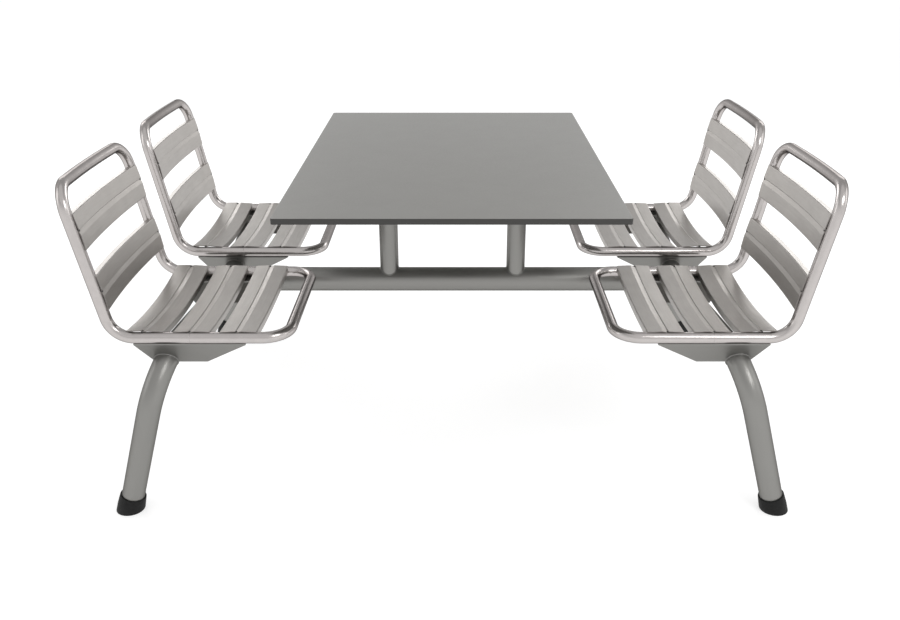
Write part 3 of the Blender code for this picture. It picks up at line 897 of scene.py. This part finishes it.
class CANTEEN_OT_slats(Operator):
    """Make the pressed slats of the chairs"""

    bl_idname = "canteen.slats"
    bl_label = "Slats"

    def execute(self, context):
        scene = context.scene
        slat, seat = scene.canteen_slat, scene.canteen_seat
        sheet = material_for(satin_anodised_aluminium, scene.canteen_finish)
        sawn = material_for(sawn_aluminium, scene.canteen_finish)
        for name, side, end in SEATS:
            chair = seat_place(side, end, seat)
            for slat_name, place, sag in slat_places(slat, seat):
                bm = self.pressed(slat, seat, sag)
                put(bm, chair @ place)
                node = name + "_" + slat_name
                piece = finish_piece(bm, node + "_sheet", sheet, [node])
                flatten(piece)
                piece.data.materials.append(sawn)
                for face in piece.data.polygons:
                    face.material_index = int(abs(face.normal.y) > math.cos(SMOOTH_ANGLE))
        return {"FINISHED"}

    def pressed(self, slat, seat, sag):
        """One slat in its own frame, with the rails along X under it."""
        top_radius, height, rail_angle, end_angle = slat_bow(slat, seat, sag)
        angle = rail_angle + end_angle
        bm = bmesh.new()
        verts = [bm.verts.new((across, 0.0, -depth)) for across, depth in slat_section(slat)]
        bm.faces.new(verts)
        edge = max(vert.co.x for vert in verts)
        wide = [vert for vert in verts if abs(vert.co.x) > slat.groove_width and vert.co.z > -slat.flange]
        outside = [vert for vert in wide if abs(vert.co.x) == edge]
        inside = [vert for vert in wide if abs(vert.co.x) < edge]
        creases = [vert for vert in verts if abs(vert.co.x) < slat.groove_width]
        rounded(bm, outside, slat.corner_radius, ROUND_STEPS, "VERTICES")
        rounded(bm, inside, slat.corner_radius - slat.sheet, SOFT_STEPS, "VERTICES")
        rounded(bm, creases, slat.crease_radius, CREASE_STEPS, "VERTICES")
        put(bm, Matrix.Translation((0.0, 0.0, height)) @ Matrix.Rotation(-angle, 4, "X")
            @ Matrix.Translation((0.0, 0.0, -top_radius)))
        bmesh.ops.spin(bm, geom=bm.faces[:], cent=(0.0, 0.0, height), axis=(1, 0, 0), angle=2 * angle,
                       steps=SLAT_STEPS)
        return bm


class CANTEEN_OT_rivets(Operator):
    """Make the rivets at the ends of the slats"""

    bl_idname = "canteen.rivets"
    bl_label = "Rivets"

    def execute(self, context):
        scene = context.scene
        slat, seat = scene.canteen_slat, scene.canteen_seat
        metal = material_for(dark_rivet_steel, scene.canteen_finish)
        groove_floor = slat.groove_steep - slat.groove_width / 2
        radius, rise = slat.rivet_diameter / 2, slat.rivet_height
        steps = [step / ROUND_STEPS * math.pi / 2 for step in range(ROUND_STEPS + 1)]
        dome = [(radius * math.cos(angle), rise * math.sin(angle)) for angle in steps]
        profile = [(0.0, -rise), (radius, -rise)] + dome
        for name, side, end in SEATS:
            chair = seat_place(side, end, seat)
            group = bmesh.new()
            for _, place, sag in slat_places(slat, seat):
                top_radius, height, rail_angle, _ = slat_bow(slat, seat, sag)
                for hand in HANDS:
                    rivet = turned(profile, RIVET_SIDES)
                    seated = (Matrix.Translation((groove_floor, 0.0, height))
                              @ Matrix.Rotation(hand * rail_angle, 4, "X")
                              @ Matrix.Translation((0.0, 0.0, -top_radius - slat.groove_depth)))
                    put(rivet, chair @ place @ seated)
                    mesh = bpy.data.meshes.new("rivet")
                    rivet.to_mesh(mesh)
                    rivet.free()
                    group.from_mesh(mesh)
                    bpy.data.meshes.remove(mesh)
            finish_piece(group, name + "_rivets", metal)
        return {"FINISHED"}


class CANTEEN_OT_stage(Operator):
    """Set the floor, the light and the camera"""

    bl_idname = "canteen.stage"
    bl_label = "Stage"

    def execute(self, context):
        scene = context.scene
        stage = scene.canteen_stage
        self.floor(scene, stage)
        self.surround(scene, stage)
        self.sky_light(stage)
        self.softbox("key_softbox", KEY_BOX, stage.key_power)
        for name, side in SIDES.items():
            self.softbox(name + "_softbox", SIDE_BOX, stage.side_power, side)
            self.softbox(name + "_back_softbox", BACK_BOX, stage.back_power, side)
        self.camera(scene, stage)
        scene.view_settings.view_transform = "Standard"
        return {"FINISHED"}

    def camera(self, scene, stage):
        """The camera at the picture's own place and angle."""
        data = bpy.data.cameras.new("camera")
        data.lens = stage.focal_pixels / IMAGE_WIDTH * data.sensor_width
        data.shift_x = (IMAGE_WIDTH / 2 - stage.centre_pixel) / IMAGE_WIDTH
        camera = new_object("camera", data)
        camera.location = stage.camera_place
        camera.rotation_euler = (math.pi / 2 - stage.camera_pitch, 0.0, 0.0)
        scene.camera = camera

    def floor(self, scene, stage):
        """A plain floor that keeps the shadow, lifted to white for the camera and for reflections."""
        bm = bmesh.new()
        bmesh.ops.create_grid(bm, x_segments=1, y_segments=1, size=stage.floor_size / 2,
                              matrix=Matrix.Translation((0.0, 0.0, -stage.floor_drop)))
        mesh = bpy.data.meshes.new("floor")
        bm.to_mesh(mesh)
        bm.free()
        material, tree, shader = new_material("studio_floor")
        shader.inputs["Base Color"].default_value = (*scene.canteen_finish.floor, 1.0)
        shader.inputs["Roughness"].default_value = 1.0
        shader.inputs["Specular IOR Level"].default_value = 0.0
        rays = add_node(tree, "LightPath").outputs
        seen = rays["Is Camera Ray"]
        for other in ("Is Glossy Ray", "Is Transmission Ray"):
            either = add_node(tree, "Math", {0: seen, 1: rays[other]}, operation="MAXIMUM")
            seen = either.outputs["Value"]
        lift = add_node(tree, "Math", {0: seen, 1: stage.floor_lift}, operation="MULTIPLY")
        shader.inputs["Emission Color"].default_value = WHITE
        tree.links.new(lift.outputs["Value"], shader.inputs["Emission Strength"])
        mesh.materials.append(material)
        floor = new_object("floor", mesh)

    def surround(self, scene, stage):
        """Light from all round: white low down, where it meets the floor, and dimmer overhead."""
        world = bpy.data.worlds.new("surround")
        scene.world = world
        world.use_nodes = True
        tree = world.node_tree
        way = add_node(tree, "TexCoord").outputs["Generated"]
        height = add_node(tree, "SeparateXYZ", {"Vector": way}).outputs["Z"]
        rise = {"From Min": 0.0, "From Max": math.sin(stage.horizon_rise)}
        fade = {"To Min": stage.horizon_strength, "To Max": stage.zenith_strength}
        fall = add_node(tree, "MapRange", {"Value": height, **rise, **fade}, interpolation_type="SMOOTHSTEP")
        sky = tree.nodes["Background"]
        sky.inputs["Color"].default_value = WHITE
        tree.links.new(fall.outputs["Result"], sky.inputs["Strength"])

    def sky_light(self, stage):
        """A broad light from the front, even over the whole floor."""
        data = bpy.data.lights.new("sky_light", "SUN")
        data.energy = stage.sky_strength
        data.angle = stage.sky_spread
        lamp = new_object("sky_light", data)
        lamp.rotation_euler = (math.pi / 2 - stage.sky_height, 0.0, 0.0)

    def softbox(self, name, box, power, side=1.0):
        """A rectangular area light turned to its target, set on one side of the table."""
        mirror = Vector((side, 1.0, 1.0))
        place, target, size = (Vector(measure) for measure in box)
        data = bpy.data.lights.new(name, "AREA")
        data.shape = "RECTANGLE"
        data.size, data.size_y = size
        data.energy = power
        lamp = new_object(name, data)
        lamp.location = place * mirror
        lamp.rotation_euler = ((target - place) * mirror).to_track_quat("-Z", "Y").to_euler()


OPERATORS = (
    CANTEEN_OT_table_top,
    CANTEEN_OT_beam,
    CANTEEN_OT_posts,
    CANTEEN_OT_brackets,
    CANTEEN_OT_legs,
    CANTEEN_OT_feet,
    CANTEEN_OT_seat_frames,
    CANTEEN_OT_slats,
    CANTEEN_OT_rivets,
    CANTEEN_OT_stage,
)

GROUPS = {
    "canteen_table": CanteenTable,
    "canteen_legs": CanteenLegs,
    "canteen_seat": CanteenSeat,
    "canteen_slat": CanteenSlat,
    "canteen_bracket": CanteenBracket,
    "canteen_finish": CanteenFinish,
    "canteen_stage": CanteenStage,
}


class CANTEEN_PT_panel(Panel):
    """Sidebar panel with every step and every size"""

    bl_idname = "CANTEEN_PT_panel"
    bl_label = "Canteen Table"
    bl_space_type = "VIEW_3D"
    bl_region_type = "UI"
    bl_category = "Canteen"

    def draw(self, context):
        for operator in OPERATORS:
            self.layout.operator(operator.bl_idname)
        for name, group in GROUPS.items():
            box = self.layout.box()
            box.label(text=group.__doc__)
            for prop in group.__annotations__:
                box.prop(getattr(context.scene, name), prop)


def register():
    """Make the sizes, the operators and the panel known to Blender."""
    for name, group in GROUPS.items():
        bpy.utils.register_class(group)
        setattr(bpy.types.Scene, name, PointerProperty(type=group))
    for operator in OPERATORS:
        bpy.utils.register_class(operator)
    bpy.utils.register_class(CANTEEN_PT_panel)


def unregister():
    """Take everything back that register made known."""
    bpy.utils.unregister_class(CANTEEN_PT_panel)
    for operator in reversed(OPERATORS):
        bpy.utils.unregister_class(operator)
    for name, group in GROUPS.items():
        delattr(bpy.types.Scene, name)
        bpy.utils.unregister_class(group)


def main():
    """Build every piece in order."""
    register()
    for operator in OPERATORS:
        group, name = operator.bl_idname.split(".")
        getattr(getattr(bpy.ops, group), name)()


if __name__ == "__main__":
    main()
